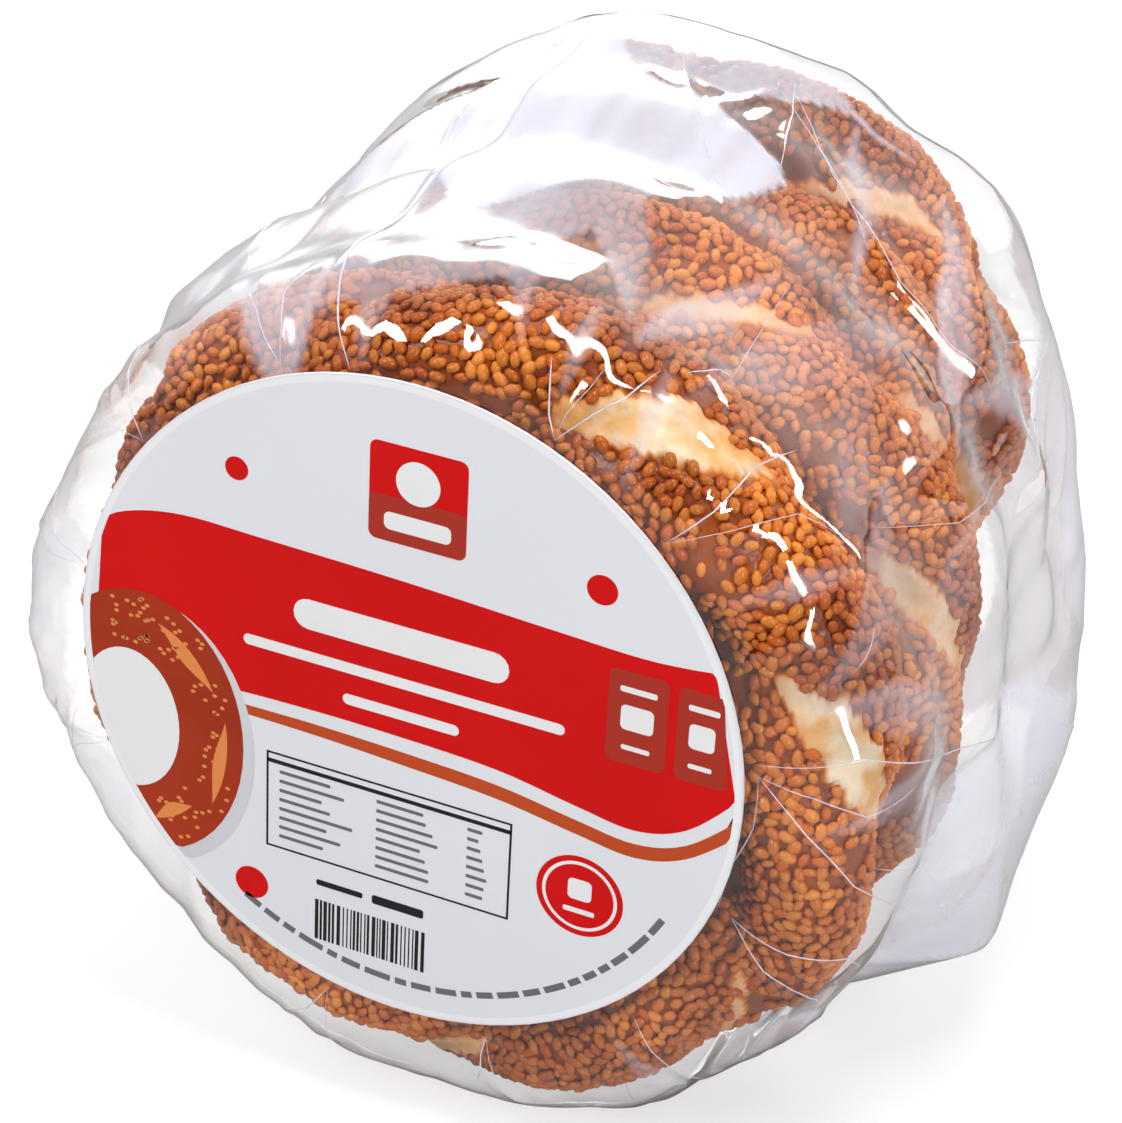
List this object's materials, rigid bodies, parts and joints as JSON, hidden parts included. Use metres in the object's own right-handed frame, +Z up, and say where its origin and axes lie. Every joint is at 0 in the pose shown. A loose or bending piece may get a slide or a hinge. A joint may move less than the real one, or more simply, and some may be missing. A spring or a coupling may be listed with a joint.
{
  "type": "bag of ring breads",
  "caption": "Clear film bag holding a row of sesame bread rings, standing on its rim, with a round label on its front face.",
  "frame": {"origin": "middle of the bag's outline, on the surface that the bag stands on", "axes": "+Y runs along the row of rings, away from the labelled front face; +Z is up"},
  "size_m": [0.19, 0.1558, 0.1794],
  "materials": {
    "film": "clear glossy plastic film",
    "label": "glossy coated paper"
  },
  "bodies": {
    "root": {"bag": "film", "label": "label"}
  },
  "joints": []
}
